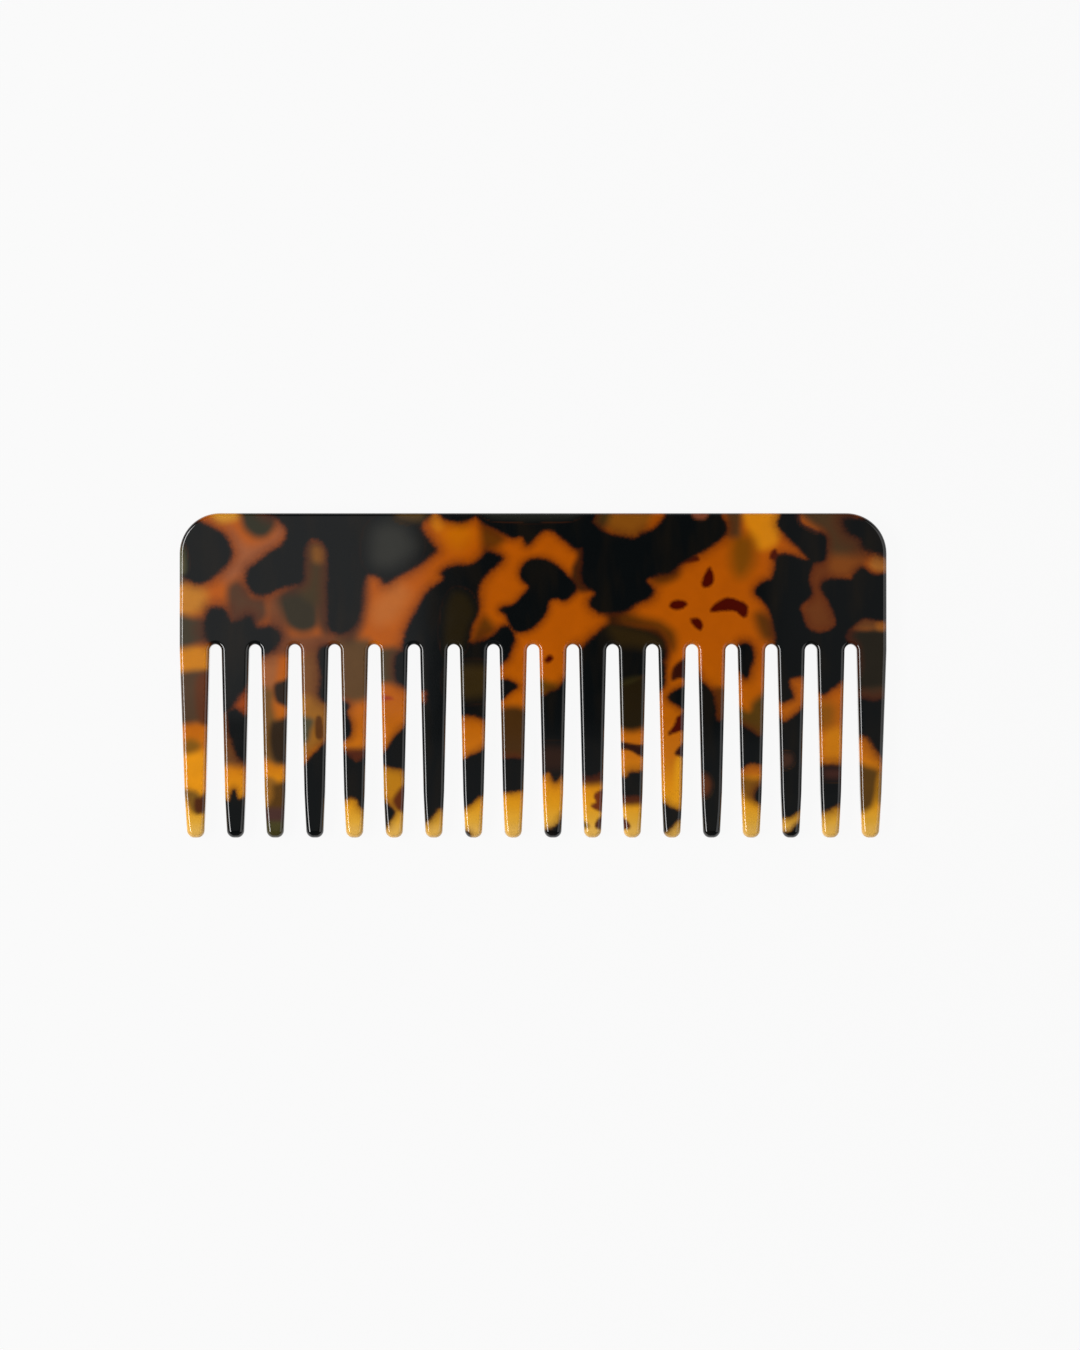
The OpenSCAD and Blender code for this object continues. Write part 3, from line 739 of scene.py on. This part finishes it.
def make_back():
    """The two flat faces, the rims round the outline and round every gap top, which start on
    the flat's edge and go outwards, and the flat ends that the teeth stand on."""
    x, y = back_grid()
    places, faces, count = [], [], 0

    def add_grid(points):
        """Adds a grid of places and the faces between them."""
        nonlocal count
        places.append(points.reshape(-1, 3))
        faces.extend(grid_faces(*points.shape[:2], first=count))
        count += points.shape[0] * points.shape[1]

    for z in (sheet, 0.0):
        add_grid(np.stack([x, y, np.full(x.shape, z)], axis=2))
    face = np.stack([x, y], axis=2)
    outline = np.concatenate([face[:, 0], face[-1, 1:], face[-2::-1, -1]])
    straight = end_x - corner_radius
    middle = np.clip(outline, (-straight, -np.inf), (straight, back_edge - corner_radius))
    outward = outline - middle
    outward /= np.linalg.norm(outward, axis=1)[:, None]
    rims = [rounded_rim(outline, outward)]
    edge = face[0]
    for centre in gap_centres:
        arch = edge[np.abs(edge[:, 0] - centre) < flare + slack]
        inward = np.array([centre, root_y]) - arch
        rims.append(rounded_rim(arch, inward / np.linalg.norm(inward, axis=1)[:, None]))
    for rim in rims:
        add_grid(rim)

    # each end runs round the sheet: one rim, the upper edge, the next rim and the lower edge
    left_sides = [rims[0][0]] + [rim[-1] for rim in rims[1:]]
    right_sides = [rim[0] for rim in rims[1:]] + [rims[0][-1]]
    for left, right in zip(left_sides, right_sides):
        between = edge[(edge[:, 0] > left[0, 0] + slack) & (edge[:, 0] < right[0, 0] - slack)]
        upper = np.column_stack([between, np.full(len(between), sheet)])
        lower = np.column_stack([between[::-1], np.zeros(len(between))])
        loop = np.concatenate([left[::-1], upper, right, lower])
        places.append(loop)
        faces.append(list(range(count, count + len(loop))))
        count += len(loop)
    return closed_piece("comb_back", np.concatenate(places), faces,
                        acetate("acetate_back", 1.3, 0.10, 0.12))


back = make_back()
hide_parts("back")

# ---------------------------------------------------------------------------
# The teeth
# Eighteen straight tapered teeth, sawn out of the same sheet. Each tip is ground thinner on
# both faces and rounded, so that it doesn't scratch, and then buffed with the rest.
# ---------------------------------------------------------------------------
tip_y = cad_box[0].y / MM
tooth_length = root_y - tip_y
mouth_half_width = 2.1
tip_inset = 0.15
end_lean = 1.3
tip_radius = 1.4
tip_half_thickness = 1.2
grind_length = 9.0
grind_curve = 1.7
ring_step = 0.4
acetate_teeth = acetate("acetate_teeth", 1.3, 0.12, 0.12)


def tooth_rings(left, right):
    """Rounded rectangles carried from the root plane to the tip. left and right give the two
    sides at the root and at the tip. The sides run straight, close in on an arc at the tip,
    and the thickness falls off along the ground stretch and closes in on the same arc."""
    even = np.arange(0, tooth_length - tip_radius, ring_step)
    arc_in = tip_radius * (1 - np.sin(np.radians(np.linspace(0, 88, 12))))
    run = np.concatenate([even, tooth_length - arc_in])
    rest = tooth_length - run
    share = run / tooth_length
    inset = tip_radius - np.sqrt(tip_radius ** 2 - np.clip(tip_radius - rest, 0, None) ** 2)
    inset += tip_inset * np.clip((grind_length - rest) / (grind_length - tip_radius), 0, 1)
    x_left = left[0] + (left[1] - left[0]) * share + inset
    x_right = right[0] + (right[1] - right[0]) * share - inset
    ground = np.clip(1 - rest / grind_length, 0, 1)
    half = sheet / 2 - (sheet / 2 - tip_half_thickness) * ground ** grind_curve
    closing = np.clip(1 - rest / tip_half_thickness, 0, 1)
    half = half * np.sqrt(1 - closing ** 2)
    corner = np.minimum(edge_round + (tip_half_thickness - edge_round) * ground ** 3, half)
    corner = np.minimum(corner, (x_right - x_left) / 2)

    # half of a ring is the upper flat, a quarter round, the right wall and a quarter round,
    # with narrow steps at the flat's ends; the other half is the same through the middle
    flat = np.concatenate([[-1, -0.97], np.linspace(-1, 1, 12)[1:-1], [0.97]])
    wall = np.linspace(1, -1, 7)[:-1]
    sin, cos = np.sin(arc[:-1]), np.cos(arc[:-1])
    flat_ones, turn_ones, wall_ones = np.ones(len(flat)), np.ones(len(sin)), np.ones(len(wall))

    def whole(*parts):
        """A ring's values from those of its first half."""
        half_ring = np.concatenate(parts)
        return np.concatenate([half_ring, -half_ring])

    across = whole(flat, turn_ones, wall_ones, turn_ones)
    upward = whole(flat_ones, turn_ones, wall, -turn_ones)
    out_x = whole(0 * flat_ones, sin, wall_ones, cos)
    out_z = whole(flat_ones, cos, 0 * wall_ones, -sin)
    middle, width = (x_left + x_right) / 2, (x_right - x_left) / 2
    rings = np.empty((len(run), len(across), 3))
    rings[..., 0] = middle[:, None] + (width - corner)[:, None] * across + corner[:, None] * out_x
    rings[..., 1] = (root_y - run)[:, None]
    rings[..., 2] = sheet / 2 + (half - corner)[:, None] * upward + corner[:, None] * out_z
    return rings


def make_tooth(name, box, first, last):
    """A tooth within its box. Beside a gap its side draws in by half of what the gap widens,
    and the outer side of the first and of the last tooth leans in."""
    left_tip = box[0].x + (end_lean if first else mouth_half_width - gap_radius)
    right_tip = box[1].x - (end_lean if last else mouth_half_width - gap_radius)
    rings = tooth_rings((box[0].x, left_tip), (box[1].x, right_tip))
    rows, around = rings.shape[:2]
    faces = grid_faces(rows, around, ring=True)
    faces.append(list(range(around)))
    faces.append(list(range((rows - 1) * around, rows * around)))
    return closed_piece("comb_" + name, rings.reshape(-1, 3), faces, acetate_teeth)


for name, box in zip(tooth_names, tooth_boxes):
    tooth = make_tooth(name, box, name == tooth_names[0], name == tooth_names[-1])
    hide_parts(name)

# ---------------------------------------------------------------------------
# The table, the lights and the camera
# The comb lies on a plain white table. A large soft light at its left draws a bright line
# along every left-hand edge, a weaker one fills in from the right, and three dim panels
# overhead lay a faint sheen on the polish.
# ---------------------------------------------------------------------------
scene = bpy.context.scene
scene.view_settings.view_transform = "Standard"
scene.view_settings.look = "None"


def white_table():
    """A large flat square under the comb that glows evenly, so that its shadow is faint."""
    mesh = bpy.data.meshes.new("table")
    half = 3.0
    corners = [(-half, -half, 0), (half, -half, 0), (half, half, 0), (-half, half, 0)]
    mesh.from_pydata(corners, [], [(0, 1, 2, 3)])
    material = bpy.data.materials.new("white_table")
    material.use_nodes = True
    shader = material.node_tree.nodes["Principled BSDF"]
    shader.inputs["Base Color"].default_value = (0.02, 0.02, 0.02, 1)
    shader.inputs["Roughness"].default_value = 0.9
    shader.inputs["Specular IOR Level"].default_value = 0
    shader.inputs["Emission Color"].default_value = (1, 1, 1, 1)
    shader.inputs["Emission Strength"].default_value = 0.935
    mesh.materials.append(material)
    table = bpy.data.objects.new("table", mesh)
    bpy.context.collection.objects.link(table)


def soft_light(name, place, size, brightness, aim=(0, 0, 0)):
    """A rectangular soft light turned to the aim. Its power is brightness times pi times its
    area."""
    data = bpy.data.lights.new(name, "AREA")
    data.shape = "RECTANGLE"
    data.size, data.size_y = size
    data.energy = brightness * math.pi * size[0] * size[1]
    light = bpy.data.objects.new(name, data)
    light.location = place
    away = Vector(place) - Vector(aim)
    light.rotation_euler = away.to_track_quat("Z", "Y").to_euler()
    bpy.context.collection.objects.link(light)


white_table()
soft_light("left_softbox", (-0.68, 0.0, 0.80), (1.1, 0.38), 9.4)
soft_light("right_fill", (0.95, 0.0, 0.80), (1.6, 1.2), 0.9)
soft_light("upper_panel", (-0.553, 0.35, 1.25), (1.0, 0.74), 0.31, aim=(-0.553, 0.35, 0))
soft_light("right_panel", (0.61, 0.35, 1.25), (1.0, 0.9), 0.10, aim=(0.61, 0.35, 0))
soft_light("front_panel", (-0.35, -0.23, 1.25), (1.5, 0.4), 0.11, aim=(-0.35, -0.23, 0))


def studio_world():
    """A dim grey room: lighter towards the horizon and dark straight overhead."""
    world = bpy.data.worlds.new("studio")
    world.use_nodes = True
    nodes, link = world.node_tree.nodes, world.node_tree.links.new
    place = nodes.new("ShaderNodeTexCoord")
    split = nodes.new("ShaderNodeSeparateXYZ")
    fade = nodes.new("ShaderNodeMapRange")
    fade.inputs["From Min"].default_value = 0.35
    fade.inputs["From Max"].default_value = 0.98
    fade.inputs["To Min"].default_value = 1.2
    fade.inputs["To Max"].default_value = 0.02
    link(place.outputs["Generated"], split.inputs["Vector"])
    link(split.outputs["Z"], fade.inputs["Value"])
    link(fade.outputs["Result"], nodes["Background"].inputs["Strength"])
    return world


scene.world = studio_world()

# The camera looks straight down, and view_height is what it takes in at the comb's mid-height.
camera_height = 0.90
view_height = 0.2677
sensor = 36
camera_data = bpy.data.cameras.new("camera")
camera_data.sensor_width = sensor
camera_data.lens = sensor * (camera_height - sheet * MM / 2) / view_height
camera_data.clip_start, camera_data.clip_end = 0.05, 20
camera = bpy.data.objects.new("camera", camera_data)
camera.location = (0.00137, 0.0001, camera_height)
bpy.context.collection.objects.link(camera)
scene.camera = camera
